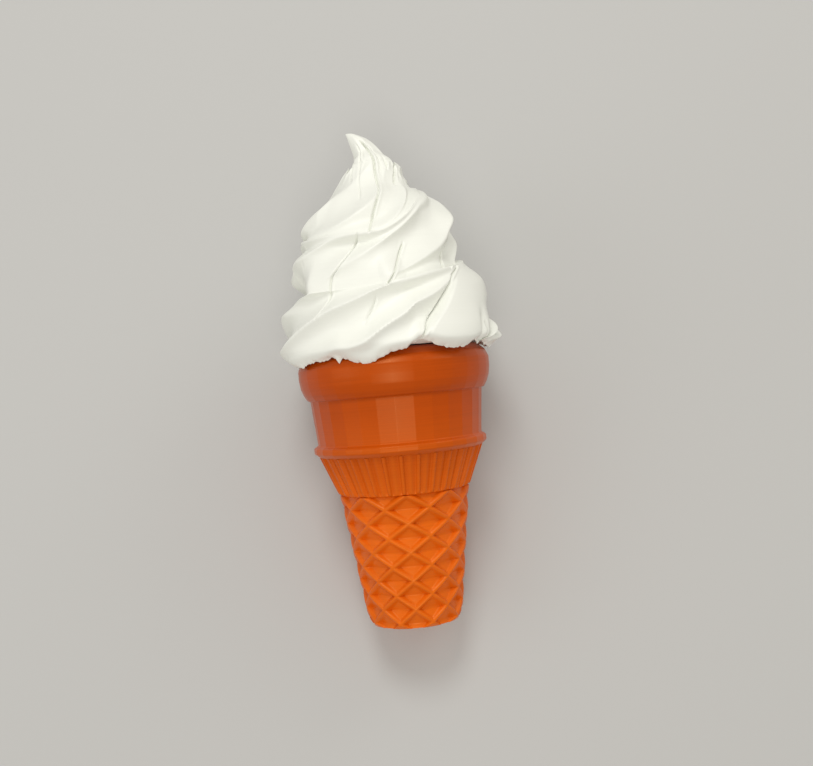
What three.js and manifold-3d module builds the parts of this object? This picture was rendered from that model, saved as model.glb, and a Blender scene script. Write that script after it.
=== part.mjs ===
// Toy ice cream cone lying on its side: a waffle cup with a ribbed flare and a rolled rim,
// filled with a coiled swirl of cream. Millimetres, +Z up, the tip of the swirl towards +Y.
// Heights below are measured along the axis of the cone from the middle of its small end.
// Angles are in degrees around that axis, 0 at the top of the lying cone, rising towards +X.

import * as THREE from "three";
import Module from "manifold-3d";

const wasm = await Module();
wasm.setup();

const fullTurn = 360;
const degree = Math.PI / 180;

// How the cone lies
const lieAngle = 13.3;
const footReach = 14.8;
const restFlat = 0.5;

// Waffle cup
const cupFootRadius = 14.2;
const cupTopRadius = 20.0;
const cupHeight = 41.2;
const cupFootBevel = 0.5;
const cupFootSides = 72;
const cupTrimReach = 10;
const diamondsAround = 9;
const diamondHeight = 8.88;
const firstNodeHeight = 5.94;
const firstWaffleRow = -2;
const lastWaffleRow = 11;
const barFootShare = 0.26;
const barRise = 0.5;
const cellDepth = 0.95;
const cellLipDepth = 0.25;

// Ribbed flare
const ribCount = 30;
const flareHeight = 53.6;
const flareFootRadius = 20.0;
const flareTopRadius = 25.0;
const flareCoreRadius = 17;
const flareRootDepth = 3;
const flareStepIn = 0.4;
const flareStepRise = 0.7;
const ribRise = 0.6;
const ribOutline = [
  [-0.1625, 0],
  [-0.07, ribRise],
  [0.07, ribRise],
  [0.1625, 0],
];

// Flange and band with thirty flat sides, and the rolled rim, whose sides swell to be nearly round
const sideCount = 30;
const firstSideAngle = -0.7;
const rimFoot = 71.5;
const rimRoundness = 0.7;
const upperProfile = [
  [21.0, 52.0],
  [25.6, 53.6],
  [27.2, 54.9],
  [27.2, 56.6],
  [25.8, 57.4],
  [27.1, 71.3],
  [27.5, 72.0],
  [28.7, 73.2],
  [29.6, 75.3],
  [30.1, 78.0],
  [30.1, 81.0],
  [29.1, 83.2],
  [27.1, 85.0],
  [25.2, 85.7],
];

// Cream: one rope laid in a rising coil, its star section turning as it goes
const firstTurn = -300;
const secondLayerTurn = 60;
const lastTurn = 834;
const columnStep = 6;
const columnsPerTurn = fullTurn / columnStep;
const rowStep = 9;
const ridgePhases = [
  [-300, -424],
  [-180, -236],
  [0, -13],
  [60, 69],
  [318, 401],
  [335, 437],
  [351, 464],
  [368, 496],
  [380, 503],
  [394, 507],
  [418, 521],
  [474, 602],
  [664, 878],
  [685, 900],
  [711, 938],
  [725, 964],
  [834, 1162],
];
const ridgeSpacings = [
  [60, 72],
  [300, 90],
  [400, 90],
  [474, 80],
];
const coilTops = [
  [-300, 84.6],
  [-270, 93.5],
  [-180, 99.0],
  [-90, 104.0],
  [-45, 104.0],
  [0, 104.4],
  [15, 105.3],
  [30, 106.9],
  [49, 108.4],
  [90, 111.6],
  [180, 116.5],
  [270, 120.4],
  [310, 120.3],
  [342, 120.3],
  [357, 120.0],
  [367, 120.6],
  [378, 123.3],
  [400, 130.2],
  [450, 135.5],
  [540, 140.0],
  [630, 143.0],
  [720, 144.0],
  [800, 142.9],
  [834, 137.0],
];
const creamRadii = [
  [81.0, 33.2],
  [84.0, 34.2],
  [87.5, 35.9],
  [94.0, 34.6],
  [100.0, 33.2],
  [107.0, 30.3],
  [113.0, 28.2],
  [120.0, 25.7],
  [125.0, 24.3],
  [129.0, 21.5],
  [132.5, 18.0],
  [136.0, 13.4],
  [140.0, 10.2],
  [144.2, 8.2],
];
const creamDrift = [
  [84.0, -0.2],
  [100.0, -0.9],
  [113.0, -2.0],
  [120.0, -1.6],
  [125.0, -1.2],
  [132.5, -0.8],
  [136.0, -1.2],
  [140.0, -1.2],
  [143.0, -0.8],
  [146.4, -1.5],
  [151.9, -4.6],
  [154.2, -7.1],
  [154.7, -8.2],
];
const leastCoilRise = 0.3;
const valleyShare = 0.1;
const crestSharpness = 1.5;
const footNotchShares = [
  [60, 0.015],
  [110, 0.15],
  [285, 0.15],
  [320, 0.09],
  [400, 0.08],
  [450, 0.12],
  [560, 0.08],
  [640, 0.07],
  [670, 0.02],
  [765, 0.02],
  [800, 0],
];
const footNotchReaches = [
  [400, 0.4],
  [560, 0.25],
];
const headNotchShares = [
  [-130, 0.04],
  [-100, 0.12],
  [-75, 0.12],
  [-40, 0.07],
  [-20, 0.05],
  [5, 0],
  [50, 0],
  [90, 0.04],
  [270, 0.04],
  [295, 0],
  [490, 0],
];
const headNotchFrom = 0.72;

// Where the ridges die out towards the top edge of a coil, and towards the foot of the last coil
const plainHeads = [
  [0, 0],
  [15, 1],
  [60, 1],
  [90, 0],
  [270, 0],
  [295, 1],
  [420, 1],
  [450, 0],
];
const plainHeadFrom = 0.8;
const plainFootTurn = 620;
const plainFootFade = 40;
const plainFootReach = 0.15;
const flutesFadeHeight = 131;
const flutesFadeReach = 9;
const flutesFadeShare = 0.6;

// Hem of the cream, hanging over the rim in lobes
const hemHeights = [
  [-180, 83.2],
  [-165, 82.1],
  [-139, 83.4],
  [-113, 81.3],
  [-88, 83.0],
  [-68, 82.0],
  [-51, 83.1],
  [-38, 83.4],
  [-28, 83.5],
  [-19, 81.8],
  [-11, 81.6],
  [-4, 83.2],
  [3, 84.4],
  [11, 85.2],
  [16, 87.1],
  [21, 86.4],
  [29, 84.6],
  [38, 83.9],
  [46, 84.3],
  [54, 85.6],
  [66, 85.4],
  [92, 83.5],
  [117, 85.3],
  [143, 83.1],
  [169, 84.4],
  [180, 83.2],
];
const hemLobes = 7;
const hemNotchAngle = 15;
const hemWaveShare = 0.035;
const hemFade = 8;
const hemSmoothing = 0.75;
const hemRollShare = 0.055;
const hemRollReach = 3.8;

// The first coil is plain without ridges on one side, past a line that climbs it.
const plainFrom = [
  [83.0, 11],
  [93.3, 28],
  [99.8, 37],
  [105.1, 45],
  [116.5, 60],
];
const plainEdgeWidth = 7;
const plainEnd = 100;
const plainFade = 25;

// Tip of the cream
const tipRows = 5;
const tipHeight = 154.6;
const tipRadii = [
  [136.0, 8.4],
  [143.0, 6.8],
  [146.4, 5.2],
  [151.9, 3.3],
  [154.2, 1.5],
  [154.7, 0.6],
];
const tipPointRise = 0.1;
const tipRowSpread = 0.9;
const collarShare = 0.4;
const collarStep = 0.01;
const spikeGapShare = 0.14;
const spikeGapDepth = 2.4;
const spikeGapRise = 0.15;
const spikeSharpness = 6;
const strandShare = 0.07;
const strandLean = 4;

// Underside of the cream
const underRadius = 30.9;
const underRise = 1.2;
const underLowest = 84.4;
const plugRadius = 26.5;
const plugFoot = 86.0;

// Two joined solids are kept this far from sharing a face.
const hairline = 0.05;
const tableReach = 200;

function alongTable(table, place) {
  const last = table.length - 1;
  if (place <= table[0][0]) return table[0][1];
  if (place >= table[last][0]) return table[last][1];
  let low = 0;
  while (place > table[low + 1][0]) low += 1;
  const slopeAt = (index) => {
    const before = table[Math.max(index - 1, 0)];
    const after = table[Math.min(index + 1, last)];
    return (after[1] - before[1]) / (after[0] - before[0]);
  };
  const width = table[low + 1][0] - table[low][0];
  const share = (place - table[low][0]) / width;
  const rest = 1 - share;
  return table[low][1] * rest * rest * (1 + 2 * share)
    + table[low + 1][1] * share * share * (1 + 2 * rest)
    + slopeAt(low) * width * share * rest * rest
    - slopeAt(low + 1) * width * share * share * rest;
}

function smoothShare(value) {
  const share = Math.min(Math.max(value, 0), 1);
  return share * share * (3 - 2 * share);
}

function aroundAxis(radius, angle, height, drift = 0) {
  return [drift + radius * Math.sin(angle * degree), height, radius * Math.cos(angle * degree)];
}

// A shell keeps its points and triangles; open edges are closed by fans to a point on the axis.
function newShell() {
  return { points: [], triangles: [] };
}

function addPoint(shell, point) {
  shell.points.push(point);
  return shell.points.length - 1;
}

function addTriangle(shell, first, second, third) {
  if (first === second || second === third || third === first) return;
  shell.triangles.push([first, second, third]);
}

// The quad is cut from its low left corner to its high right corner.
function addQuad(shell, lowLeft, lowRight, highRight, highLeft) {
  addTriangle(shell, lowLeft, lowRight, highRight);
  addTriangle(shell, lowLeft, highRight, highLeft);
}

function closeWithFans(shell, lowCentre, highCentre) {
  const open = new Map();
  for (const [first, second, third] of shell.triangles) {
    for (const edge of [[first, second], [second, third], [third, first]]) {
      const back = edge[1] + "_" + edge[0];
      if (open.has(back)) open.delete(back);
      else open.set(edge[0] + "_" + edge[1], edge);
    }
  }
  const middle = (lowCentre[1] + highCentre[1]) / 2;
  const low = addPoint(shell, lowCentre);
  const high = addPoint(shell, highCentre);
  for (const [start, end] of open.values()) {
    const centre = shell.points[start][1] < middle ? low : high;
    addTriangle(shell, end, start, centre);
  }
}

function solidOf(shell) {
  const mesh = new wasm.Mesh({
    numProp: 3,
    vertProperties: new Float32Array(shell.points.flat()),
    triVerts: new Uint32Array(shell.triangles.flat()),
  });
  return new wasm.Manifold(mesh);
}

// A solid of rings stacked along the axis; every ring has the same number of points.
function stackedRings(rings) {
  const shell = newShell();
  const count = rings[0].length;
  const numbers = rings.map((ring) => ring.map((point) => addPoint(shell, point)));
  for (let row = 0; row + 1 < rings.length; row += 1) {
    for (let side = 0; side < count; side += 1) {
      const next = (side + 1) % count;
      const above = numbers[row + 1];
      addQuad(shell, numbers[row][side], numbers[row][next], above[next], above[side]);
    }
  }
  closeWithFans(shell, [0, rings[0][0][1], 0], [0, rings[rings.length - 1][0][1], 0]);
  return solidOf(shell);
}

function evenRing(radius, height, count, startAngle = 0) {
  return Array.from({ length: count }, (_, side) => (
    aroundAxis(radius, startAngle + (side * fullTurn) / count, height)
  ));
}

function cupRadius(height) {
  return cupFootRadius + ((cupTopRadius - cupFootRadius) * height) / cupHeight;
}

function waffleSolid() {
  const linePlaces = [0, barFootShare, 2 - barFootShare];
  const linesPerPeriod = linePlaces.length;
  const linesAround = linesPerPeriod * diamondsAround;
  const halfHeight = diamondHeight / 2;
  const halfAngle = fullTurn / diamondsAround / 2;
  const lineValue = (line) => {
    const period = Math.floor(line / linesPerPeriod);
    return 2 * period + linePlaces[line - period * linesPerPeriod];
  };
  const shell = newShell();
  const known = new Map();
  const pointAt = (risingLine, fallingLine) => {
    const laps = Math.floor((risingLine - fallingLine) / (2 * linesAround));
    const risingHome = risingLine - laps * linesAround;
    const fallingHome = fallingLine + laps * linesAround;
    const key = risingHome + "_" + fallingHome;
    if (!known.has(key)) {
      const rising = lineValue(risingHome);
      const falling = lineValue(fallingHome);
      const height = firstNodeHeight + ((rising + falling) * halfHeight) / 2;
      const angle = ((rising - falling) * halfAngle) / 2;
      const radius = latticeRadius(rising, falling, height);
      known.set(key, addPoint(shell, aroundAxis(radius, angle, height)));
    }
    return known.get(key);
  };
  for (let sum = firstWaffleRow * linesPerPeriod; sum < lastWaffleRow * linesPerPeriod; sum += 1) {
    for (let rising = 0; rising < linesAround; rising += 1) {
      const falling = sum - rising;
      const south = pointAt(rising, falling);
      const east = pointAt(rising + 1, falling);
      const north = pointAt(rising + 1, falling + 1);
      const west = pointAt(rising, falling + 1);
      addTriangle(shell, south, east, west);
      addTriangle(shell, east, north, west);
    }
  }
  const heights = shell.points.map((point) => point[1]);
  closeWithFans(shell, [0, Math.min(...heights), 0], [0, Math.max(...heights), 0]);
  return solidOf(shell);
}

// Bars run along the lines where rising or falling is an even number.
function latticeRadius(rising, falling, height) {
  const fromBar = (value) => Math.abs(value - 2 * Math.round(value / 2));
  if (fromBar(rising) === 0 || fromBar(falling) === 0) return cupRadius(height) + barRise;
  const insideRising = rising - 2 * Math.floor(rising / 2);
  const insideFalling = falling - 2 * Math.floor(falling / 2);
  const fromValley = Math.abs(insideRising + insideFalling - 2) / 2;
  return cupRadius(height) - cellDepth + (cellDepth - cellLipDepth) * fromValley;
}

// The waffle is trimmed flat at both ends and beveled around its foot.
function cupSolid() {
  const footRadius = cupFootRadius - cupFootBevel;
  const trim = stackedRings([
    evenRing(footRadius, 0, cupFootSides),
    evenRing(footRadius + cupTrimReach, cupTrimReach, cupFootSides),
    evenRing(footRadius + cupTrimReach, cupHeight, cupFootSides),
  ]);
  return waffleSolid().intersect(trim);
}

function ribRing(radius, height, ribShare = 1) {
  const pitch = fullTurn / ribCount;
  const ring = [];
  for (let rib = 0; rib < ribCount; rib += 1) {
    for (const [place, rise] of ribOutline) {
      ring.push(aroundAxis(radius + rise * ribShare, (rib + place) * pitch, height));
    }
  }
  return ring;
}

function flareSolid() {
  return stackedRings([
    ribRing(flareCoreRadius, cupHeight - flareRootDepth, 0),
    ribRing(flareFootRadius - flareStepIn, cupHeight - hairline, 0),
    ribRing(flareFootRadius, cupHeight + flareStepRise),
    ribRing(flareTopRadius, flareHeight),
    ribRing(flareCoreRadius, flareHeight + flareRootDepth, 0),
  ]);
}

// A corner and the middle of a side by turns
function sidedRing(radius, height) {
  const halfSide = fullTurn / sideCount / 2;
  const flat = Math.cos(halfSide * degree);
  const middle = height > rimFoot ? flat + (1 - flat) * rimRoundness : flat;
  return Array.from({ length: 2 * sideCount }, (_, place) => (
    aroundAxis(place % 2 ? radius * middle : radius, firstSideAngle + place * halfSide, height)
  ));
}

function upperSolid() {
  return stackedRings(upperProfile.map(([radius, height]) => sidedRing(radius, height)));
}

// 1 on the crest of a ridge, 0 in the valley between two ridges
function ridgeAt(turn, lean) {
  const spacing = alongTable(ridgeSpacings, turn);
  const offset = lean - alongTable(ridgePhases, turn);
  const away = Math.abs(offset - spacing * Math.round(offset / spacing)) / (spacing / 2);
  return (1 - away) ** crestSharpness;
}

// 1 in the notches between the lobes of the hem, -1 at their lowest points
function hemWave(turn) {
  return Math.cos(hemLobes * (turn - hemNotchAngle) * degree);
}

function hemAt(turn) {
  return alongTable(hemHeights, turn - fullTurn * Math.round(turn / fullTurn));
}

function coilFoot(turn) {
  if (turn <= secondLayerTurn) return hemAt(turn);
  return alongTable(coilTops, turn - fullTurn);
}

function coilTop(turn) {
  if (turn <= firstTurn) return hemAt(turn);
  if (turn >= lastTurn) return coilFoot(turn);
  return Math.max(alongTable(coilTops, turn), coilFoot(turn) + leastCoilRise);
}

// Leans of the rows on one coil, from its foot at -90 to its top at 90.
// The rows next to both ends are left out, as they would lie too close together.
function coilLeans() {
  const leans = [-90];
  for (let lean = -90 + 2 * rowStep; lean <= 90 - 2 * rowStep; lean += rowStep) leans.push(lean);
  return [...leans, 90];
}

function creamHeight(turn, lean) {
  const foot = coilFoot(turn);
  return foot + ((coilTop(turn) - foot) * (1 + Math.sin(lean * degree))) / 2;
}

// How much is taken off the cream where one coil meets the next
function notchAt(turn, lean) {
  const across = (1 + Math.sin(lean * degree)) / 2;
  const fromFoot = smoothShare(across / alongTable(footNotchReaches, turn));
  const nearHead = smoothShare((across - headNotchFrom) / (1 - headNotchFrom));
  return alongTable(footNotchShares, turn) * (1 - fromFoot)
    + alongTable(headNotchShares, turn) * nearHead;
}

// How much of the ridges' full depth is left at a place on the cream
function ridgesLeft(turn, lean, height) {
  const across = (1 + Math.sin(lean * degree)) / 2;
  const head = alongTable(plainHeads, turn) * smoothShare((across - plainHeadFrom) / (1 - plainHeadFrom));
  const foot = smoothShare((turn - plainFootTurn) / plainFootFade)
    * smoothShare(1 - across / plainFootReach);
  const nearHem = 1 - smoothShare((height - hemAt(turn)) / hemFade);
  const plain = smoothShare((turn - alongTable(plainFrom, height)) / plainEdgeWidth)
    * (1 - smoothShare((turn - plainEnd) / plainFade));
  const faded = flutesFadeShare * smoothShare((height - flutesFadeHeight) / flutesFadeReach);
  return (1 - hemSmoothing * nearHem) * (1 - plain) * (1 - faded) * (1 - head) * (1 - foot);
}

function creamReach(turn, lean) {
  const height = creamHeight(turn, lean);
  const aboveHem = height - hemAt(turn);
  const valley = valleyShare * (1 - ridgeAt(turn, lean)) * ridgesLeft(turn, lean, height);
  const hemNotch = (hemWaveShare * (1 - smoothShare(aboveHem / hemFade)) * (1 + hemWave(turn))) / 2;
  const hemRoll = hemRollShare * Math.min(Math.max(1 - aboveHem / hemRollReach, 0), 1);
  return alongTable(creamRadii, height) * (1 - notchAt(turn, lean) - valley - hemNotch - hemRoll);
}

function creamPoint(turn, lean) {
  const height = creamHeight(turn, lean);
  return aroundAxis(creamReach(turn, lean), turn, height, alongTable(creamDrift, height));
}

function tipPoint(turn, row) {
  const foot = coilTop(turn);
  const share = row / tipRows;
  const besideSpike = Math.abs(Math.sin(turn * degree)) ** spikeSharpness;
  const inGap = spikeGapDepth * besideSpike * (1 - smoothShare(share / spikeGapRise));
  const height = foot + (tipHeight - foot) * share ** tipRowSpread - inGap;
  const valley = 1 - ridgeAt(turn, 90 + strandLean * (height - foot));
  const collar = creamReach(turn, 90) * (1 - collarStep - spikeGapShare * besideSpike);
  const settled = smoothShare(share / collarShare);
  const strand = alongTable(tipRadii, height) * (1 - strandShare * valley);
  const radius = collar * (1 - settled) + strand * settled;
  return aroundAxis(radius, turn, height, alongTable(creamDrift, height));
}

function joinRings(shell, below, above) {
  below.forEach((point, index) => {
    const next = (index + 1) % below.length;
    addQuad(shell, point, below[next], above[next], above[index]);
  });
}

function addTip(shell, rim, rimTurn) {
  let below = rim;
  for (let row = 0; row < tipRows; row += 1) {
    const points = rim.map((_, index) => tipPoint(rimTurn + index * columnStep, row));
    const ring = points.map((point) => addPoint(shell, point));
    joinRings(shell, below, ring);
    below = ring;
  }
  const apex = addPoint(shell, [alongTable(creamDrift, tipHeight), tipHeight + tipPointRise, 0]);
  below.forEach((point, index) => addTriangle(shell, point, below[(index + 1) % below.length], apex));
}

function addUnderside(shell, hem) {
  let above = hem;
  const steps = [
    [underRadius, (angle) => Math.max(hemAt(angle) + underRise, underLowest)],
    [plugRadius, () => plugFoot],
  ];
  for (const [radius, heightAt] of steps) {
    const ring = hem.map((_, index) => {
      const angle = firstTurn + index * columnStep;
      return addPoint(shell, aroundAxis(radius, angle, heightAt(angle)));
    });
    joinRings(shell, ring, above);
    above = ring;
  }
  const centre = addPoint(shell, [0, plugFoot, 0]);
  above.forEach((point, index) => addTriangle(shell, above[(index + 1) % above.length], point, centre));
}

// One column of points for every step of the rope; its two ends close onto the coils beside them.
function addCoils(shell, leans) {
  const topRow = leans.length - 1;
  const columns = (lastTurn - firstTurn) / columnStep;
  const numbers = [];
  for (let column = 0; column <= columns; column += 1) {
    const turn = firstTurn + column * columnStep;
    numbers.push(leans.map((lean) => addPoint(shell, creamPoint(turn, lean))));
  }
  numbers[0].fill(numbers[columnsPerTurn][0]);
  numbers[columns].fill(numbers[columns - columnsPerTurn][topRow]);
  for (let column = 0; column < columns; column += 1) {
    const left = numbers[column];
    const right = numbers[column + 1];
    for (let row = 0; row < topRow; row += 1) {
      addQuad(shell, left[row], right[row], right[row + 1], left[row + 1]);
    }
  }
  return numbers;
}

// The top of every coil is stitched to the foot of the coil lying on it.
function addLedges(shell, numbers, topRow) {
  for (let column = 0; column + columnsPerTurn + 1 < numbers.length; column += 1) {
    const above = column + columnsPerTurn;
    addQuad(
      shell,
      numbers[column][topRow],
      numbers[column + 1][topRow],
      numbers[above + 1][0],
      numbers[above][0],
    );
  }
}

function creamSolid() {
  const shell = newShell();
  const leans = coilLeans();
  const topRow = leans.length - 1;
  const numbers = addCoils(shell, leans);
  addLedges(shell, numbers, topRow);
  const rim = numbers.slice(-1 - columnsPerTurn, -1).map((column) => column[topRow]);
  addTip(shell, rim, lastTurn - fullTurn);
  addUnderside(shell, numbers.slice(0, columnsPerTurn).map((column) => column[0]));
  return solidOf(shell);
}

// Lays a solid on its side and cuts the small flat spots it rests on.
function laidDown(solid) {
  const lift = footReach * Math.cos(lieAngle * degree) - restFlat;
  const shape = solid.getMesh();
  const shell = newShell();
  const cosine = Math.cos(lieAngle * degree);
  const sine = Math.sin(lieAngle * degree);
  for (let index = 0; index < shape.vertProperties.length; index += 3) {
    const [x, along, out] = shape.vertProperties.slice(index, index + 3);
    addPoint(shell, [x, along * cosine - out * sine, along * sine + out * cosine + lift]);
  }
  for (let index = 0; index < shape.triVerts.length; index += 3) {
    shell.triangles.push([...shape.triVerts.slice(index, index + 3)]);
  }
  return solidOf(shell).subtract(tableBlock());
}

function tableBlock() {
  const reach = tableReach;
  return solidOf({
    points: [
      [-reach, -reach, -reach], [reach, -reach, -reach], [reach, reach, -reach], [-reach, reach, -reach],
      [-reach, -reach, 0], [reach, -reach, 0], [reach, reach, 0], [-reach, reach, 0],
    ],
    triangles: [
      [0, 2, 1], [0, 3, 2], [4, 5, 6], [4, 6, 7], [0, 1, 5], [0, 5, 4],
      [1, 2, 6], [1, 6, 5], [2, 3, 7], [2, 7, 6], [3, 0, 4], [3, 4, 7],
    ],
  });
}

function meshOf(name, solid, material) {
  const shape = solid.getMesh();
  const geometry = new THREE.BufferGeometry();
  const places = new Float32Array(shape.vertProperties);
  geometry.setAttribute("position", new THREE.BufferAttribute(places, 3));
  geometry.setIndex(new THREE.BufferAttribute(new Uint32Array(shape.triVerts), 1));
  geometry.computeVertexNormals();
  const mesh = new THREE.Mesh(geometry, material);
  mesh.name = name;
  return mesh;
}

const orange = new THREE.MeshStandardMaterial({ color: 0xd06a25, roughness: 0.55, metalness: 0 });
const white = new THREE.MeshStandardMaterial({ color: 0xf1efe8, roughness: 0.5, metalness: 0 });

// Puts the origin under the middle of the whole outline, on the surface it lies on.
function centreOverFloor(group) {
  const middle = new THREE.Box3().setFromObject(group).getCenter(new THREE.Vector3());
  for (const mesh of group.children) mesh.geometry.translate(-middle.x, -middle.y, 0);
}

const cone = cupSolid().add(flareSolid()).add(upperSolid());
const whole = new THREE.Group();
whole.add(meshOf("cone", laidDown(cone), orange));
whole.add(meshOf("swirl", laidDown(creamSolid()), white));
centreOverFloor(whole);

export default whole;
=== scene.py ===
import math

import bpy
import numpy as np
from mathutils import Matrix, Vector


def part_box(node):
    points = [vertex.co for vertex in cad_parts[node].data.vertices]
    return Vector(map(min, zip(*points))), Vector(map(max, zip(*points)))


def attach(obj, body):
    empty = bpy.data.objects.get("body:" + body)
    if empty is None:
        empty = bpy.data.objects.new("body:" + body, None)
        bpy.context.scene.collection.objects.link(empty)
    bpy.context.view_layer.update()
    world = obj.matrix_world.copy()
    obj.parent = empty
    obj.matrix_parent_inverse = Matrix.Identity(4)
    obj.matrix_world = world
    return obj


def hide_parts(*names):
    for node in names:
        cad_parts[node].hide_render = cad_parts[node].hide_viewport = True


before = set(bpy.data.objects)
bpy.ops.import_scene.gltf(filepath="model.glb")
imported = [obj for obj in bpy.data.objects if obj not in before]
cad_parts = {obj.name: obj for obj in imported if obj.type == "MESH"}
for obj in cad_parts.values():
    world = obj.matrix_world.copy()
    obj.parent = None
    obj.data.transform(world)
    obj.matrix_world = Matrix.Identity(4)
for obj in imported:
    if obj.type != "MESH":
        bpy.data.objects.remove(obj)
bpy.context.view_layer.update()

# The toy is worked out in millimetres in the frame of its own axis, as the solids are:
# x across, y along the axis from the middle of the small end, z out of its top.
# Angles are in degrees around the axis, 0 at the top of the lying toy, rising towards +X.
MM = 0.001
FULL_TURN = 360.0
LIE_ANGLE = math.radians(13.3)
FOOT_REACH = 14.8
REST_FLAT = 0.5

# Waffle cup: nodes are where two bars cross
CUP_FOOT_RADIUS = 14.2
CUP_TOP_RADIUS = 20.0
CUP_HEIGHT = 41.2
CUP_FOOT_BEVEL = 0.5
CUP_FOOT_INSET = 1.2
CUP_FOOT_ROWS = [0.0, 0.12, 0.28]
DIAMONDS_AROUND = 9
DIAMOND_HEIGHT = 8.88
FIRST_NODE_HEIGHT = 5.94
FIRST_NODE_ANGLE = 1.2
BAR_HALF_WIDTH = 0.36
BAR_RISE = 0.5
BAR_SHARPNESS = 1.2
CELL_DEPTH = 1.45
CELL_LIP_DEPTH = 0.1
CELL_FOLD_SHARPNESS = 0.85
CUP_ROW_STEP = 0.3

# Ribbed flare
RIB_COUNT = 30
FLARE_HEIGHT = 53.6
FLARE_FOOT_RADIUS = 20.0
FLARE_TOP_RADIUS = 25.0
FLARE_STEP_IN = 0.4
FLARE_STEP_RISE = 0.245
FLARE_ROW_SHARES = [0.0, 0.02, 0.1, 0.3, 0.5, 0.7, 0.9, 0.98, 1.0]
RIB_RISE = 0.75
RIB_SHOULDER = RIB_RISE * 0.85
RIB_FOOT_SHARE = 0.3
RIB_SWELL_REACH = 0.04
# One rib across: angle from its middle, rise
RIB_OUTLINE = [
    (-6.0, 0.2), (-2.5, -0.3), (-1.7, -0.15), (-0.95, RIB_SHOULDER), (-0.3, RIB_RISE),
    (0.3, RIB_RISE), (0.95, RIB_SHOULDER), (1.7, -0.15), (2.5, -0.3), (6.0, 0.2),
]
# Angles of the columns of the cone's surface within one rib's share of the turn
COLUMN_PLACES = [
    -6.0, -5.2, -4.4, -3.6, -3.0, -2.5, -1.95, -1.45, -0.95, -0.7, -0.3,
    0.3, 0.95, 1.45, 1.95, 2.5, 3.0, 3.6, 4.4, 5.2,
]

# Flange, band and rolled rim
SIDE_COUNT = 30
FIRST_SIDE_ANGLE = -0.7
RIM_FOOT = 71.0
RIM_FOOT_REACH = 3.0
RIM_ROUNDNESS = 0.7
# Corner radius and height
UPPER_PROFILE = [
    (25.0, 53.6), (25.6, 53.6), (27.2, 54.9), (27.2, 56.6), (25.8, 57.4),
    (27.1, 71.4), (27.9, 71.5), (28.9, 73.2), (29.7, 75.3), (30.1, 78.0),
    (30.1, 81.0), (29.1, 83.2), (27.1, 85.0), (25.2, 85.7), (20.0, 85.7),
]
CORNER_CUT = 0.45
CORNER_CUT_SHARE = 0.4
CORNER_STEPS = 4

# Cream: a rope laid in a rising coil. A place on it is a turn, the angle around the axis
# counted on over the turns, and a lean, from -90 at the coil's foot to 90 at its top edge.
FIRST_TURN = -300.0
SECOND_LAYER_TURN = 60.0
LAST_TURN = 834.0
COLUMN_STEP = 0.375
ROWS_ON_COIL = 72
# Turn, then the lean of a crest there, counted on from ridge to ridge
RIDGE_PHASES = [
    (-300, -424), (-180, -236), (0, -13), (60, 69), (318, 401), (335, 437), (351, 464),
    (368, 496), (380, 503), (394, 507), (418, 521), (474, 602), (664, 878), (685, 900),
    (711, 938), (725, 964), (834, 1162),
]
# Turn, then the lean from crest to crest
RIDGE_SPACINGS = [(60, 72), (300, 90), (400, 90), (474, 80)]
# Turn, then the height of the coil's top edge
COIL_TOPS = [
    (-300, 84.6), (-270, 93.5), (-180, 99.0), (-90, 104.0), (-45, 104.0), (0, 104.4),
    (15, 105.3), (30, 106.9), (49, 108.4), (90, 111.6), (180, 116.5), (270, 120.4),
    (310, 120.3), (342, 120.3), (357, 120.0), (367, 120.6), (378, 123.3), (400, 130.2),
    (450, 135.5), (540, 140.0), (630, 143.0), (720, 144.0), (800, 142.9), (834, 137.0),
]
# Height, then the radius of the whole cream there
CREAM_RADII = [
    (81.0, 33.2), (84.0, 34.2), (87.5, 35.9), (94.0, 34.6), (100.0, 33.2), (107.0, 30.3),
    (113.0, 28.2), (120.0, 25.7), (125.0, 24.3), (129.0, 21.5), (132.5, 18.0),
    (136.0, 13.4), (140.0, 10.2), (144.2, 8.2),
]
# Height, then how far the cream's middle lies to the side
CREAM_DRIFT = [
    (84.0, -0.2), (100.0, -0.9), (113.0, -2.0), (120.0, -1.6), (125.0, -1.2),
    (132.5, -0.8), (136.0, -1.2), (140.0, -1.2), (143.0, -0.8), (146.4, -1.5),
    (151.9, -4.6), (154.2, -7.1), (154.7, -8.2),
]
LEAST_COIL_RISE = 0.3
VALLEY_SHARE = 0.12
CREST_SHARPNESS = 1.9
CREST_ROUNDING = 0.06
# Past this lean a ridge keeps its place, so that none turns back along a coil's edges
STEEPEST_LEAN = 74.0
# Turn, then the share by which the coil draws in towards its foot, and how far up that reaches
FOOT_NOTCH_SHARES = [
    (60, 0.015), (110, 0.15), (285, 0.15), (315, 0.09), (345, 0.05), (400, 0.06), (450, 0.12),
    (560, 0.08), (640, 0.07), (670, 0.02), (765, 0.02), (790, 0.14), (815, 0.14), (834, 0.0),
]
FOOT_NOTCH_REACHES = [(400, 0.4), (560, 0.25), (765, 0.25), (790, 0.9)]
# Turn, then the share by which the coil draws in towards its top edge
HEAD_NOTCH_SHARES = [
    (-130, 0.04), (-100, 0.12), (-75, 0.11), (-50, 0.04), (-25, 0.0), (50, 0.0),
    (90, 0.04), (270, 0.04), (295, 0.0), (490, 0.0),
]
HEAD_NOTCH_FROM = 0.72
# Turn, then how far the ridges die out towards the top edge of a coil, and towards its foot
PLAIN_HEADS = [(0, 0), (15, 1), (60, 1), (90, 0), (270, 0), (295, 1), (420, 1), (450, 0)]
PLAIN_HEAD_FROM = 0.8
PLAIN_FEET = [(300, 0), (330, 0.8), (400, 0.8), (440, 0), (620, 0), (660, 1)]
PLAIN_FOOT_REACH = 0.2
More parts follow.
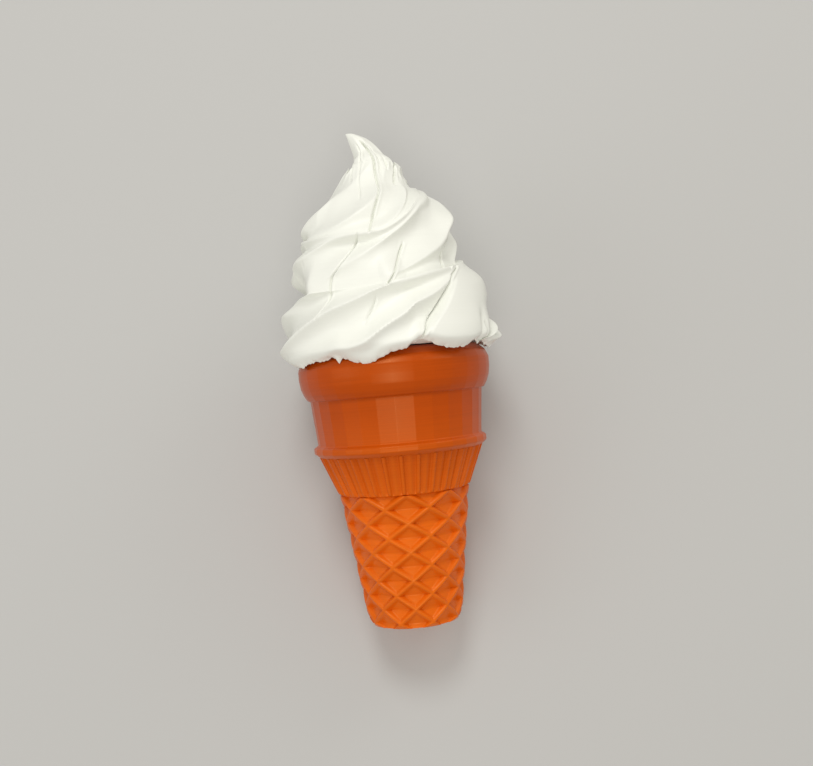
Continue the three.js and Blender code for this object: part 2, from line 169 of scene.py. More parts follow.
# Turn, then how far a coil's foot flows on from the top of the coil below it
JOINED_FEET = [(262, 0), (290, 1), (362, 1), (376, 0)]
JOIN_REACH = 0.8
# Keeps the crests within the solids' box
DRAWN_IN = 0.9845

# Hem of the cream: angle, then height
HEM_HEIGHTS = [
    (-180, 83.2), (-165, 82.1), (-139, 83.4), (-113, 81.3), (-88, 83.0), (-68, 82.0),
    (-51, 83.1), (-38, 83.4), (-28, 83.5), (-19, 81.8), (-11, 81.6), (-4, 83.2),
    (3, 84.4), (11, 85.2), (16, 87.1), (21, 86.4), (29, 84.6), (38, 83.9), (46, 84.3),
    (54, 85.6), (66, 85.4), (92, 83.5), (117, 85.3), (143, 83.1), (169, 84.4), (180, 83.2),
]
HEM_LOBES = 7
HEM_NOTCH_ANGLE = 15.0
HEM_WAVE_SHARE = 0.035
HEM_FADE = 9.0
HEM_SMOOTHING = 0.85
HEM_ROLL_SHARE = 0.06
HEM_ROLL_REACH = 3.0
# Fine waves along the hem: rise, waves to a turn, start
HEM_RAGGED = [(0.1, 37, 1.0), (0.1, 61, 2.0), (0.08, 97, 0.5), (0.06, 141, 1.5)]
HEM_RAGGED_REACH = 1.2
# Teeth (rise below zero) and nicks in the hem: angle, half width, rise
HEM_NICKS = [
    (-31, 2.5, -1.5), (-36, 4, 0.7), (-72, 5, 1.2), (-60, 4, -0.6), (12, 3, 0.5),
    (52, 4, 1.0), (66, 4, 0.5), (59, 3, -0.5), (74, 5, -0.4), (140, 4, 1.0),
    (200, 5, 0.8), (250, 4, -0.8),
]

# Plain side of the first coil, right of the front: height and turn where it starts
PLAIN_FROM = [
    (83.0, 11), (87.0, 17), (91.8, 22), (96.6, 30), (99.8, 35), (105.4, 45), (116.5, 61),
]
PLAIN_EDGE_WIDTH = 4.0
PLAIN_END = 100.0
PLAIN_FADE = 25.0

# Ridges soften towards the tip
RIDGE_FADE_HEIGHT = 131.0
RIDGE_FADE_REACH = 9.0
RIDGE_FADE_SHARE = 0.6

# Thin creases that climb the cream: depth, then (height, angle) along the crease
CREASES = [
    (1.0, [(96.4, -38), (99.6, -35), (102.7, -33), (107.4, -30), (109.5, -26), (111.8, -22),
           (114.3, -18), (117.6, -14), (119.4, -12)]),
    (1.2, [(120.0, -4), (125.2, -2), (130.5, 2), (135.0, 6), (139.2, 6), (141.9, 4),
           (145.3, 3), (148.1, 5), (151.0, 3)]),
    (1.1, [(103.4, 3), (106.4, 8), (109.8, 12), (112.9, 16), (115.9, 20)]),
    (0.6, [(93.4, -12), (95.7, -9), (98.1, -6), (100.4, -4)]),
    (1.2, [(87.0, 17), (91.8, 22), (96.6, 30), (99.8, 35), (105.4, 45), (108.1, 53)]),
    (0.3, [(90.9, 20), (94.3, 24)]),
    (0.2, [(107.5, -63), (110.5, -60), (113.9, -57)]),
    (0.45, [(131.2, -16), (135.5, -20), (139.6, -24), (142.5, -29), (147.8, -31),
            (150.1, -29)]),
    (0.8, [(141.2, 30), (143.7, 29)]),
    (1.6, [(108.0, 46), (111.4, 51), (113.8, 54), (116.0, 59), (118.5, 66)]),
    (0.8, [(86.5, 65), (88.5, 64), (91.0, 62)]),
    (1.6, [(135.8, 32), (138.4, 40), (140.7, 49), (142.5, 51)]),
    (0.8, [(137.7, -35), (140.3, -45), (142.6, -51)]),
    (0.35, [(140.0, 16), (144.0, 16), (147.0, 18), (150.5, 22)]),
]
# The longer creases are repeated, softer, at these angles around the back
BACK_CREASE_SHIFTS = (130.0, 180.0, 230.0)
BACK_CREASE_SHARE = 0.5
LONG_CREASE_POINTS = 4
CREASE_WIDTH = 0.3
CREASE_LIP_PLACE = 0.85
CREASE_LIP_WIDTH = 0.45
CREASE_LIP_SHARE = 0.25
CREASE_END_REACH = 2.0

# Local swells and dents: height, angle, spreads of both, rise
SWELLS = [
    (84.0, -85, 3.0, 25, 1.35), (95.5, 88, 4.0, 20, -2.2), (133.0, 85, 2.5, 20, -1.3),
    (122.5, 68, 4.5, 12, 1.5), (119.4, 85, 2.5, 18, -0.8), (110.2, 85, 2.0, 18, -0.9),
    (122.0, 98, 4.0, 14, -1.8), (104.7, 80, 3.0, 20, 1.0), (115.5, -80, 2.5, 20, 1.4),
    (101.5, -82, 2.0, 15, -1.5), (89.5, 59, 4.0, 3.0, -2.0),
]

# Tip of the cream: height, then radius
TIP_ROWS = 40
TIP_HEIGHT = 154.6
TIP_RADII = [
    (136.0, 8.4), (143.0, 6.8), (146.4, 5.2), (151.9, 3.3), (154.2, 1.5), (154.7, 0.6),
]
TIP_POINT_RISE = 0.04
TIP_ROW_SPREAD = 0.9
# The last coil's top edge is a collar that settles onto the tip, sooner beside the two spikes
COLLAR_SHARE = 0.4
COLLAR_SHARE_AT_SPIKE = 0.12
# Notches in the top edge of the last coil: turn, half width, depth
COLLAR_NOTCHES = [(661.0, 10.0, 2.6), (771.0, 8.0, 2.2), (700.0, 5.0, 0.8), (737.0, 5.0, 0.8)]
SPIKE_GAP_SHARE = 0.1
SPIKE_GAP_DEPTH = 3.0
SPIKE_GAP_RISE = 0.12
SPIKE_SHARPNESS = 3
STRAND_SHARE = 0.07
STRAND_LEAN = 4.0

# Underside of the cream
UNDER_RADIUS = 30.9
UNDER_RISE = 1.2
UNDER_LOWEST = 84.4
PLUG_RADIUS = 26.5
PLUG_FOOT = 86.0

# Plastic: the print's layers lie across the axis. The colour is painted darker along the axis
# from the waffle to the rim: painted shade for the shade under the swirl, waffle painted
# lighter
LAYER_STRETCH = (30, 2600, 30)
CLOUD_SCALE = 60.0
GRAIN_SCALE = 900.0
GLOSS_UNEVENNESS = 0.08
LAYER_BUMP = {"Strength": 0.15, "Distance": 0.00012}
GRAIN_BUMP = {"Strength": 0.12, "Distance": 0.00008}
# Painted shade: between these heights the cone's colour goes from painted lighter to painted
# darker
PAINTED_SHADE_FROM = 30.0
PAINTED_SHADE_TO = 70.0
CONE_LOOK = {
    "base": (0.607, 0.0945, 0.002),
    "unevenness": 0.2,
    # Painted shade per colour channel: lighter at the waffle, darker at the rim
    "painted_shade_shares": (0.23, 0.39, 1.0),
    "roughness": 0.33,
    "specular": 0.42,
    "sheen_tint": (1.0, 0.66, 0.3),
}
SWIRL_LOOK = {
    "base": (0.885, 0.90, 0.84),
    "unevenness": 0.03,
    "painted_shade_shares": (0.0, 0.0, 0.0),
    "roughness": 0.45,
    "specular": 0.4,
    "sheen_tint": (1.0, 1.0, 1.0),
}
CONE_SHARP_ANGLE = math.radians(55)
SWIRL_SHARP_ANGLE = math.radians(60)
# Blender's numbers for the colour sockets of Mix and the vector sockets of Map Range
MIX_A, MIX_B, MIX_RESULT = 6, 7, 2
RANGE_INPUT, RANGE_FROM_LOW, RANGE_FROM_HIGH, RANGE_TO_LOW, RANGE_TO_HIGH = 6, 7, 8, 9, 10

# Floor, light and camera, in metres
FLOOR_HALF_WIDTH = 3
FLOOR_DROP = 0.0001
FLOOR_COLOUR = (0.52, 0.52, 0.51, 1)
FLOOR_ROUGHNESS = 0.8
SKY_COLOUR = (1.0, 0.96, 0.89, 1)
SKY_STRENGTH = 0.54
LIGHT_TARGET = (0, 0, 0.03)
# Name, place, size, power, colour
LIGHTS = [
    ("key", (-0.06, 0.46, 0.76), 0.3, 2.3, (1.0, 0.99, 0.97)),
    ("sheen", (-0.02, -0.42, 0.9), 0.42, 2.2, (1.0, 0.98, 0.95)),
    ("left", (-0.6, -0.05, 0.45), 0.4, 0.45, (0.94, 0.97, 1.0)),
    ("right", (0.55, 0.5, 0.4), 0.4, 0.7, (1.0, 0.98, 0.93)),
]
# Camera of the photograph: place in millimetres and directions, in the frame of the toy's axis
CAMERA_SPOT = (3.60, 77.19, 347.86)
CAMERA_FORWARD = (0, -0.0075, -0.99997)
CAMERA_UP = (0.08956, 0.99595, -0.00747)
SENSOR_WIDTH = 36.0
FOCAL_LENGTH = 48.7
CLIP_NEAR = 0.01
CLIP_FAR = 10


def along_table(table, place):
    """Smooth curve through a table of (place, value), held level beyond its ends."""
    places, values = np.array(table, dtype=float).T
    place = np.clip(np.asarray(place, dtype=float), places[0], places[-1])
    slopes = np.empty_like(values)
    slopes[1:-1] = (values[2:] - values[:-2]) / (places[2:] - places[:-2])
    slopes[0] = (values[1] - values[0]) / (places[1] - places[0])
    slopes[-1] = (values[-1] - values[-2]) / (places[-1] - places[-2])
    low = np.clip(np.searchsorted(places, place) - 1, 0, len(places) - 2)
    width = places[low + 1] - places[low]
    share = (place - places[low]) / width
    rest = 1 - share
    return (
        values[low] * rest * rest * (1 + 2 * share)
        + values[low + 1] * share * share * (1 + 2 * rest)
        + slopes[low] * width * share * rest * rest
        - slopes[low + 1] * width * share * share * rest
    )


def smooth_share(value):
    share = np.clip(value, 0.0, 1.0)
    return share * share * (3 - 2 * share)


def around_axis(radius, angle, height, drift=0.0):
    """Points at an angle around the axis, whose middle is moved to the side by the drift."""
    turn = np.radians(angle)
    radius, turn, height, drift = np.broadcast_arrays(radius, turn, height, drift)
    return np.stack([drift + radius * np.sin(turn), height, radius * np.cos(turn)], axis=-1)


def ring_faces(low, high):
    """Faces between two rings of the same number of points."""
    return list(zip(low, np.roll(low, -1), np.roll(high, -1), high))


# ---------------------------------------------------------------- cone

def cup_radius(height):
    return CUP_FOOT_RADIUS + (CUP_TOP_RADIUS - CUP_FOOT_RADIUS) * height / CUP_HEIGHT


def waffle_rise(angle, height):
    """Rounded crossing bars over cells that fold inward along their middle."""
    half_height = DIAMOND_HEIGHT / 2
    half_angle = FULL_TURN / DIAMONDS_AROUND / 2
    up = (height - FIRST_NODE_HEIGHT) / half_height
    across = (angle - FIRST_NODE_ANGLE) / half_angle
    rising = up + across
    falling = up - across
    from_rising = np.abs(rising - 2 * np.round(rising / 2))
    from_falling = np.abs(falling - 2 * np.round(falling / 2))
    inside = (rising - 2 * np.floor(rising / 2)) + (falling - 2 * np.floor(falling / 2))
    from_valley = np.abs(inside - 2) / 2
    cell = -CELL_DEPTH + (CELL_DEPTH - CELL_LIP_DEPTH) * from_valley ** CELL_FOLD_SHARPNESS

    def bar(away):
        return np.cos(np.clip(away / BAR_HALF_WIDTH, 0, 1) * math.pi / 2) ** BAR_SHARPNESS

    bars = np.maximum(bar(from_rising), bar(from_falling))
    return cell + (BAR_RISE - cell) * bars


def polygon_share(angle, height):
    """Radius of a flat-sided ring as a share of its corner radius; the rim is nearly round."""
    side = FULL_TURN / SIDE_COUNT
    offset = (angle - FIRST_SIDE_ANGLE) % side - side / 2
    flat = math.cos(math.radians(side / 2)) / np.cos(np.radians(offset))
    roundness = RIM_ROUNDNESS * smooth_share((height - RIM_FOOT) / RIM_FOOT_REACH)
    return flat + (1 - flat) * roundness


def rib_rise(angle):
    pitch = FULL_TURN / RIB_COUNT
    offset = angle - pitch * np.round(angle / pitch)
    places, rises = zip(*RIB_OUTLINE)
    return np.interp(offset, places, rises)


def rounded_profile(profile):
    """The profile with its corners rounded by short curves."""
    points = [np.array(p, dtype=float) for p in profile]
    smooth = [points[0]]
    for before, corner, after in zip(points, points[1:], points[2:]):
        ends = []
        for side in (before - corner, after - corner):
            length = np.linalg.norm(side)
            ends.append(corner + side * min(CORNER_CUT, length * CORNER_CUT_SHARE) / length)
        start, end = ends
        for step in range(CORNER_STEPS + 1):
            t = step / CORNER_STEPS
            smooth.append((1 - t) ** 2 * start + 2 * t * (1 - t) * corner + t * t * end)
    smooth.append(points[-1])
    return smooth


def cone_rows(angles):
    """Rings of points from the small end of the cup to the top of the rim."""
    rows = []
    count = round((CUP_HEIGHT - CUP_FOOT_BEVEL) / CUP_ROW_STEP)
    rows.append(around_axis(CUP_FOOT_RADIUS - CUP_FOOT_BEVEL - CUP_FOOT_INSET, angles, 0.0))
    heights = CUP_FOOT_ROWS + list(np.linspace(CUP_FOOT_BEVEL, CUP_HEIGHT, count + 1))
    for height in heights:
        radius = cup_radius(height) + waffle_rise(angles, height)
        trim = CUP_FOOT_RADIUS - CUP_FOOT_BEVEL + height
        rows.append(around_axis(np.minimum(radius, trim), angles, height))
    rows.append(around_axis(FLARE_FOOT_RADIUS - FLARE_STEP_IN, angles, CUP_HEIGHT))
    foot = CUP_HEIGHT + FLARE_STEP_RISE
    for share in FLARE_ROW_SHARES:
        height = foot + (FLARE_HEIGHT - foot) * share
        radius = FLARE_FOOT_RADIUS + (FLARE_TOP_RADIUS - FLARE_FOOT_RADIUS) * share
        swell = smooth_share(share / RIB_SWELL_REACH + RIB_FOOT_SHARE)
        rows.append(around_axis(radius + rib_rise(angles) * swell, angles, height))
    for radius, height in rounded_profile(UPPER_PROFILE):
        rows.append(around_axis(radius * polygon_share(angles, height), angles, height))
    return np.array(rows)


def cone_mesh():
    pitch = FULL_TURN / RIB_COUNT
    angles = np.concatenate([np.array(COLUMN_PLACES) + rib * pitch for rib in range(RIB_COUNT)])
    rows = cone_rows(angles)
    row_count, columns = rows.shape[:2]
    points = [*rows.reshape(-1, 3)]
    index = np.arange(row_count * columns).reshape(row_count, columns)
    faces = []
    for row in range(row_count - 1):
        faces += ring_faces(index[row], index[row + 1])
    foot, lid = len(points), len(points) + 1
    points += [np.array([0.0, 0.0, 0.0]), np.array([0.0, rows[-1][0][1], 0.0])]
    faces += [(a, foot, b) for a, b in zip(np.roll(index[0], -1), index[0])]
    faces += [(a, b, lid) for a, b in zip(index[-1], np.roll(index[-1], -1))]
    return points, faces


# ---------------------------------------------------------------- cream

def ridge_at(turn, lean):
    """1 on the crest of a ridge, 0 in the valley between two ridges."""
    spacing = along_table(RIDGE_SPACINGS, turn)
    offset = lean - along_table(RIDGE_PHASES, turn)
    away = np.abs(offset - spacing * np.round(offset / spacing)) / (spacing / 2)
    away = np.sqrt(away * away + CREST_ROUNDING * CREST_ROUNDING) - CREST_ROUNDING * (1 - away)
    return np.clip(1 - away, 0, 1) ** CREST_SHARPNESS


def hem_wave(turn):
    return np.cos(np.radians(HEM_LOBES * (turn - HEM_NOTCH_ANGLE)))


def hem_at(turn):
    return along_table(HEM_HEIGHTS, turn - FULL_TURN * np.round(turn / FULL_TURN))


def coil_foot(turn):
    """Height of the coil's foot: the hem, or the top of the coil below."""
    return np.where(
        turn <= SECOND_LAYER_TURN, hem_at(turn), along_table(COIL_TOPS, turn - FULL_TURN)
    )


def coil_top(turn):
    top = along_table(COIL_TOPS, turn)
    for place, half_width, depth in COLLAR_NOTCHES:
        top = top - depth * np.clip(1 - np.abs(turn - place) / half_width, 0, 1)
    top = np.maximum(top, coil_foot(turn) + LEAST_COIL_RISE)
    top = np.where(turn <= FIRST_TURN, hem_at(turn), top)
    return np.where(turn >= LAST_TURN, coil_foot(turn), top)


def share_across(lean):
    """0 at the coil's foot, 1 at its top edge."""
    return (1 + np.sin(np.radians(lean))) / 2


def cream_height(turn, lean):
    foot = coil_foot(turn)
    return foot + (coil_top(turn) - foot) * share_across(lean)


def notch_at(turn, lean):
    """Share of the radius by which a coil draws in towards its foot and its top edge."""
    across = share_across(lean)
    from_foot = smooth_share(across / along_table(FOOT_NOTCH_REACHES, turn))
    near_head = smooth_share((across - HEAD_NOTCH_FROM) / (1 - HEAD_NOTCH_FROM))
    return (
        along_table(FOOT_NOTCH_SHARES, turn) * (1 - from_foot)
        + along_table(HEAD_NOTCH_SHARES, turn) * near_head
    )


def crease_cut(turn, height, radius):
    """Depth in millimetres of the thin creases, each with a slight lip beside it."""
    cut = 0.0
    for depth, line in CREASES:
        low = line[0][0] - CREASE_END_REACH / 2
        high = line[-1][0] + CREASE_END_REACH / 2
        shown = smooth_share((height - low) / CREASE_END_REACH)
        shown = shown * smooth_share((high - height) / CREASE_END_REACH)
        for shift in (0.0, *BACK_CREASE_SHIFTS) if len(line) >= LONG_CREASE_POINTS else (0.0,):
            share = BACK_CREASE_SHARE if shift else 1.0
            offset = turn - shift - along_table(line, height)
            away = np.radians(offset - FULL_TURN * np.round(offset / FULL_TURN)) * radius
            groove = np.exp(-((away / CREASE_WIDTH) ** 2))
            lip = np.exp(-(((away - CREASE_LIP_PLACE) / CREASE_LIP_WIDTH) ** 2))
            cut = cut + share * depth * shown * (groove - CREASE_LIP_SHARE * lip)
    return cut


def swell_at(turn, height):
    """Rise in millimetres of the local swells and dents."""
    swell = 0.0
    for place, angle, up_spread, turn_spread, rise in SWELLS:
        offset = turn - angle
        offset = (offset - FULL_TURN * np.round(offset / FULL_TURN)) / turn_spread
        up = (height - place) / up_spread
        swell = swell + rise * np.exp(-up * up - offset * offset)
    return swell


def plain_at(turn, height):
    """1 on the plain side that the first coil has right of the front."""
    past_line = turn - along_table(PLAIN_FROM, height)
    return smooth_share(past_line / PLAIN_EDGE_WIDTH) * (
        1 - smooth_share((turn - PLAIN_END) / PLAIN_FADE)
    )


def ridges_left(turn, lean, height):
    """How much of the ridges' full depth is left at a place on the cream."""
    across = share_across(lean)
    head = along_table(PLAIN_HEADS, turn) * smooth_share(
        (across - PLAIN_HEAD_FROM) / (1 - PLAIN_HEAD_FROM)
    )
    foot = along_table(PLAIN_FEET, turn) * smooth_share(1 - across / PLAIN_FOOT_REACH)
    near_hem = 1 - smooth_share((height - hem_at(turn)) / HEM_FADE)
    faded = RIDGE_FADE_SHARE * smooth_share((height - RIDGE_FADE_HEIGHT) / RIDGE_FADE_REACH)
    left = (1 - HEM_SMOOTHING * near_hem) * (1 - plain_at(turn, height))
    return left * (1 - faded) * (1 - head) * (1 - foot)


def own_reach(turn, lean):
    """Distance from the cream's middle before joined feet, swells and creases."""
    height = cream_height(turn, lean)
    above_hem = height - hem_at(turn)
    within = np.clip(lean, -STEEPEST_LEAN, STEEPEST_LEAN)
    valley = VALLEY_SHARE * (1 - ridge_at(turn, within)) * ridges_left(turn, lean, height)
    near_hem = 1 - smooth_share(above_hem / HEM_FADE)
    hem_notch = HEM_WAVE_SHARE * near_hem * (1 + hem_wave(turn)) / 2
    hem_roll = HEM_ROLL_SHARE * np.clip(1 - above_hem / HEM_ROLL_REACH, 0, 1) ** 2
    cut = notch_at(turn, lean) + valley + hem_notch + hem_roll
    return along_table(CREAM_RADII, height) * DRAWN_IN * (1 - cut)


def cream_reach(turn, lean):
    """Distance from the cream's middle; a joined foot flows on from the coil below it."""
    near_foot = smooth_share(1 - share_across(lean) / JOIN_REACH)
    joined = np.clip(along_table(JOINED_FEET, turn), 0, 1) * near_foot
    top_below = own_reach(turn - FULL_TURN, 90.0)
    height = cream_height(turn, lean)
    reach = own_reach(turn, lean) * (1 - joined) + top_below * joined + swell_at(turn, height)
    return reach - crease_cut(turn, height, reach)


def cream_point(turn, lean):
    """A point of the cream's skin, with the ragged edge of the hem."""
    height = cream_height(turn, lean)
    drift = along_table(CREAM_DRIFT, height)
    near_edge = 1 - smooth_share((height - hem_at(turn)) / HEM_RAGGED_REACH)
    ragged = sum(
        rise * np.sin(np.radians(waves * turn) + start) for rise, waves, start in HEM_RAGGED
    )
    for angle, half_width, rise in HEM_NICKS:
        away = np.abs(turn - angle - FULL_TURN * np.round((turn - angle) / FULL_TURN))
        ragged = ragged + rise * np.clip(1 - away / half_width, 0, 1)
    return around_axis(cream_reach(turn, lean), turn, height + ragged * near_edge, drift)


def tip_point(turn, share):
    """A point of the tip, 0 to 1 of the way from the last coil's top edge to the end."""
    foot = coil_top(turn)
    beside_spike = np.abs(np.sin(np.radians(turn))) ** SPIKE_SHARPNESS
    in_gap = SPIKE_GAP_DEPTH * beside_spike * (1 - smooth_share(share / SPIKE_GAP_RISE))
    height = foot + (TIP_HEIGHT - foot) * share ** TIP_ROW_SPREAD - in_gap
    valley = 1 - ridge_at(turn, 90 + STRAND_LEAN * (height - foot))
    collar = cream_reach(turn, 90.0) * (1 - SPIKE_GAP_SHARE * beside_spike)
    settled = smooth_share(
        share / (COLLAR_SHARE + (COLLAR_SHARE_AT_SPIKE - COLLAR_SHARE) * beside_spike)
    )
    strand = along_table(TIP_RADII, height) * (1 - STRAND_SHARE * valley)
    radius = collar * (1 - settled) + (strand - crease_cut(turn, height, strand)) * settled
    return around_axis(radius, turn, height, along_table(CREAM_DRIFT, height))


def cream_mesh():
    columns = round((LAST_TURN - FIRST_TURN) / COLUMN_STEP)
    per_turn = round(FULL_TURN / COLUMN_STEP)
    turns = FIRST_TURN + COLUMN_STEP * np.arange(columns + 1)
    leans = np.linspace(-90, 90, ROWS_ON_COIL + 1)
    grid = cream_point(turns[:, None], leans[None, :])
    points = [*grid.reshape(-1, 3)]
    index = np.arange(grid.shape[0] * grid.shape[1]).reshape(grid.shape[:2])
    index[0, :] = index[per_turn, 0]
    index[columns, :] = index[columns - per_turn, -1]
    left, right = index[:-1], index[1:]
    faces = list(zip(
        left[:, :-1].ravel(), right[:, :-1].ravel(), right[:, 1:].ravel(), left[:, 1:].ravel()
    ))
    here = index[: columns - per_turn + 1, -1]
    above = index[per_turn:, 0]
    faces += zip(here[:-1], here[1:], above[1:], above[:-1])

    def add_ring(ring):
        start = len(points)
        points.extend(ring)
        return np.arange(start, start + len(ring))

    below = index[columns - per_turn : columns, -1]
    rim_turns = turns[columns - per_turn : columns]
    for row in range(TIP_ROWS):
        ring = add_ring(tip_point(rim_turns, row / TIP_ROWS))
        faces += ring_faces(below, ring)
        below = ring
    apex = add_ring([np.array([CREAM_DRIFT[-1][1], TIP_HEIGHT + TIP_POINT_RISE, 0.0])])[0]
    faces += [(a, b, apex) for a, b in zip(below, np.roll(below, -1))]

    above = index[:per_turn, 0].copy()
    hem_turns = turns[:per_turn]
    under = np.maximum(hem_at(hem_turns) + UNDER_RISE, UNDER_LOWEST)
    for radius, height in ((UNDER_RADIUS, under), (PLUG_RADIUS, np.full(per_turn, PLUG_FOOT))):
        ring = add_ring(around_axis(radius, hem_turns, height))
        faces += ring_faces(ring, above)
        above = ring
    centre = add_ring([np.array([0.0, PLUG_FOOT, 0.0])])[0]
    faces += [(a, centre, b) for a, b in zip(np.roll(above, -1), above)]
    return points, faces


# ---------------------------------------------------------------- pieces

def axis_matrix():
    """Turns the frame of the toy's axis into the row frame, in metres."""
    low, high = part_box("cone")
    lift = FOOT_REACH * math.cos(LIE_ANGLE) - REST_FLAT
    foot_back = (CUP_FOOT_RADIUS - CUP_FOOT_BEVEL) * math.sin(LIE_ANGLE)
    place = Vector(((low[0] + high[0]) / 2, low[1] + foot_back * MM, lift * MM))
    return Matrix.Translation(place) @ Matrix.Rotation(LIE_ANGLE, 4, "X")


def make_piece(name, points, faces, place):
    """A mesh laid down in the row frame; what would reach below the table is pressed flat."""
    turn = np.array(place.to_3x3())
    spots = np.array(points) * MM @ turn.T + np.array(place.translation)
    spots[:, 2] = np.maximum(spots[:, 2], 0.0)
    clean = []
    for face in faces:
        corners = list(dict.fromkeys(int(corner) for corner in face))
        if len(corners) > 2:
            clean.append(corners)
    mesh = bpy.data.meshes.new(name)
    mesh.from_pydata([tuple(p) for p in spots], [], clean)
    mesh.validate()
    mesh.update()
    mesh.polygons.foreach_set("use_smooth", [True] * len(mesh.polygons))
    piece = bpy.data.objects.new(name, mesh)
    bpy.context.collection.objects.link(piece)
    return piece


# ---------------------------------------------------------------- materials

def plastic(
    name, place, base, unevenness, painted_shade_shares, roughness, specular, sheen_tint
):
    """Printed plastic: fine layers across the axis, faint streaks, slight unevenness, and
    painted shade along the axis.
    """
    material = bpy.data.materials.new(name)
    material.use_nodes = True
    tree = material.node_tree
    shader = tree.nodes["Principled BSDF"]
    shader.inputs["Specular IOR Level"].default_value = specular
    shader.inputs["Specular Tint"].default_value = (*sheen_tint, 1)

    def node(kind, **sockets):
        made = tree.nodes.new(kind)
        for socket, value in sockets.items():
            made.inputs[socket].default_value = value
        return made

    def link(source, target):
        tree.links.new(source, target)

    back = place.inverted()
    texture_place = node("ShaderNodeTexCoord")
    axis_place = node("ShaderNodeMapping")
    axis_place.inputs["Rotation"].default_value = back.to_euler()
    axis_place.inputs["Location"].default_value = back.translation
    link(texture_place.outputs["Object"], axis_place.inputs["Vector"])
    stretch = node("ShaderNodeMapping")
    stretch.inputs["Scale"].default_value = LAYER_STRETCH
    link(axis_place.outputs["Vector"], stretch.inputs["Vector"])
    streaks = node("ShaderNodeTexNoise", Scale=1.0, Detail=2.0, Roughness=0.5)
    link(stretch.outputs["Vector"], streaks.inputs["Vector"])
    clouds = node("ShaderNodeTexNoise", Scale=CLOUD_SCALE, Detail=3.0, Roughness=0.55)
    link(axis_place.outputs["Vector"], clouds.inputs["Vector"])
    grain = node("ShaderNodeTexNoise", Scale=GRAIN_SCALE, Detail=2.0, Roughness=0.6)
    link(axis_place.outputs["Vector"], grain.inputs["Vector"])

    darker = [channel * (1 - unevenness) for channel in base]
    lighter = [min(channel * (1 + unevenness), 1.0) for channel in base]
    tint = node("ShaderNodeMix")
    tint.data_type = "RGBA"
    tint.inputs[MIX_A].default_value = (*darker, 1)
    tint.inputs[MIX_B].default_value = (*lighter, 1)
    blend = node("ShaderNodeMath")
    blend.operation = "ADD"
    half = node("ShaderNodeMath")
    half.operation = "MULTIPLY"
    half.inputs[1].default_value = 0.5
    link(streaks.outputs["Fac"], blend.inputs[0])
    link(clouds.outputs["Fac"], blend.inputs[1])
    link(blend.outputs["Value"], half.inputs[0])
    link(half.outputs["Value"], tint.inputs[0])

    # Painted shade: the base colour is painted lighter at the waffle end and darker towards the
    # rim
    apart = node("ShaderNodeSeparateXYZ")
    link(axis_place.outputs["Vector"], apart.inputs["Vector"])
    painted_shade_ramp = node("ShaderNodeMapRange")
    painted_shade_ramp.data_type = "FLOAT_VECTOR"
    painted_shade_ramp.interpolation_type = "SMOOTHSTEP"
    painted_shade_ramp.inputs[RANGE_FROM_LOW].default_value = [PAINTED_SHADE_FROM * MM] * 3
    painted_shade_ramp.inputs[RANGE_FROM_HIGH].default_value = [PAINTED_SHADE_TO * MM] * 3
    painted_shade_ramp.inputs[RANGE_TO_LOW].default_value = [1 + share for share in painted_shade_shares]
    painted_shade_ramp.inputs[RANGE_TO_HIGH].default_value = [1 - share for share in painted_shade_shares]
    link(apart.outputs["Y"], painted_shade_ramp.inputs[RANGE_INPUT])
    painted_shade_base = node("ShaderNodeVectorMath")
    painted_shade_base.operation = "MULTIPLY"
    link(tint.outputs[MIX_RESULT], painted_shade_base.inputs[0])
    link(painted_shade_ramp.outputs["Vector"], painted_shade_base.inputs[1])
    link(painted_shade_base.outputs["Vector"], shader.inputs["Base Color"])

    gloss = node("ShaderNodeMapRange")
    gloss.inputs["To Min"].default_value = roughness - GLOSS_UNEVENNESS
    gloss.inputs["To Max"].default_value = roughness + GLOSS_UNEVENNESS
    link(clouds.outputs["Fac"], gloss.inputs["Value"])
    link(gloss.outputs["Result"], shader.inputs["Roughness"])

    layers = node("ShaderNodeBump", **LAYER_BUMP)
    link(streaks.outputs["Fac"], layers.inputs["Height"])
    fine = node("ShaderNodeBump", **GRAIN_BUMP)
    link(grain.outputs["Fac"], fine.inputs["Height"])
    link(layers.outputs["Normal"], fine.inputs["Normal"])
    link(fine.outputs["Normal"], shader.inputs["Normal"])
    return material


place = axis_matrix()
cone = make_piece("cone_skin", *cone_mesh(), place)
swirl = make_piece("swirl_skin", *cream_mesh(), place)
cone.data.set_sharp_from_angle(angle=CONE_SHARP_ANGLE)
swirl.data.set_sharp_from_angle(angle=SWIRL_SHARP_ANGLE)
cone.data.materials.append(plastic("cone_plastic", place, **CONE_LOOK))
swirl.data.materials.append(plastic("swirl_plastic", place, **SWIRL_LOOK))

for piece, node_name in ((cone, "cone"), (swirl, "swirl")):
    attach(piece, "root")
    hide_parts(node_name)

# ---------------------------------------------------------------- scene

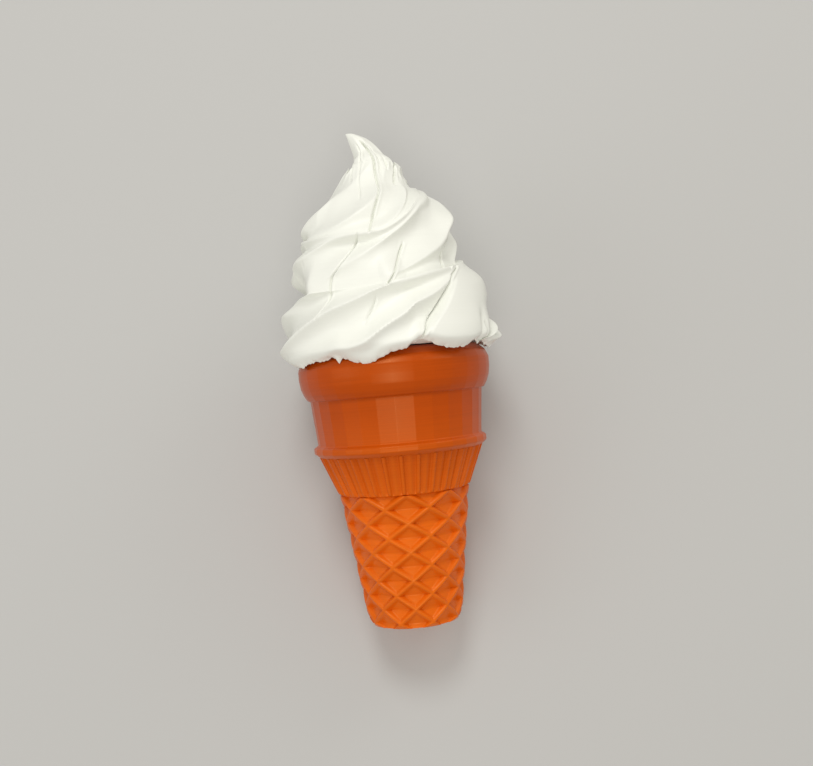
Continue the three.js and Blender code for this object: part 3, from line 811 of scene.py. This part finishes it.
floor_corners = [
    (across * FLOOR_HALF_WIDTH, along * FLOOR_HALF_WIDTH, 0)
    for across, along in ((-1, -1), (1, -1), (1, 1), (-1, 1))
]
floor_mesh = bpy.data.meshes.new("floor")
floor_mesh.from_pydata(floor_corners, [], [(0, 1, 2, 3)])
floor = bpy.data.objects.new("floor", floor_mesh)
bpy.context.collection.objects.link(floor)
floor.location.z = -FLOOR_DROP
floor_material = bpy.data.materials.new("floor_pale")
floor_material.use_nodes = True
floor_shader = floor_material.node_tree.nodes["Principled BSDF"]
floor_shader.inputs["Base Color"].default_value = FLOOR_COLOUR
floor_shader.inputs["Roughness"].default_value = FLOOR_ROUGHNESS
floor_mesh.materials.append(floor_material)

world = bpy.data.worlds.new("studio")
world.use_nodes = True
sky = world.node_tree.nodes["Background"]
sky.inputs["Color"].default_value = SKY_COLOUR
sky.inputs["Strength"].default_value = SKY_STRENGTH
bpy.context.scene.world = world

for name, spot, size, power, colour in LIGHTS:
    lamp = bpy.data.lights.new(name, "AREA")
    lamp.shape = "DISK"
    lamp.size = size
    lamp.energy = power
    lamp.color = colour
    lamp_object = bpy.data.objects.new(name, lamp)
    bpy.context.collection.objects.link(lamp_object)
    lamp_object.location = spot
    aim = Vector(LIGHT_TARGET) - Vector(spot)
    lamp_object.rotation_euler = aim.to_track_quat("-Z", "Y").to_euler()

camera = bpy.data.cameras.new("camera")
camera.sensor_width = SENSOR_WIDTH
camera.lens = FOCAL_LENGTH
camera.clip_start = CLIP_NEAR
camera.clip_end = CLIP_FAR
camera_object = bpy.data.objects.new("camera", camera)
bpy.context.collection.objects.link(camera_object)
to_row = place.to_3x3()
forward = to_row @ Vector(CAMERA_FORWARD)
right = forward.cross(to_row @ Vector(CAMERA_UP)).normalized()
up = right.cross(forward).normalized()
spot = place @ (Vector(CAMERA_SPOT) * MM)
camera_object.matrix_world = Matrix((
    (right.x, up.x, -forward.x, spot.x),
    (right.y, up.y, -forward.y, spot.y),
    (right.z, up.z, -forward.z, spot.z),
    (0, 0, 0, 1),
))
bpy.context.scene.camera = camera_object
bpy.context.scene.view_settings.view_transform = "Standard"
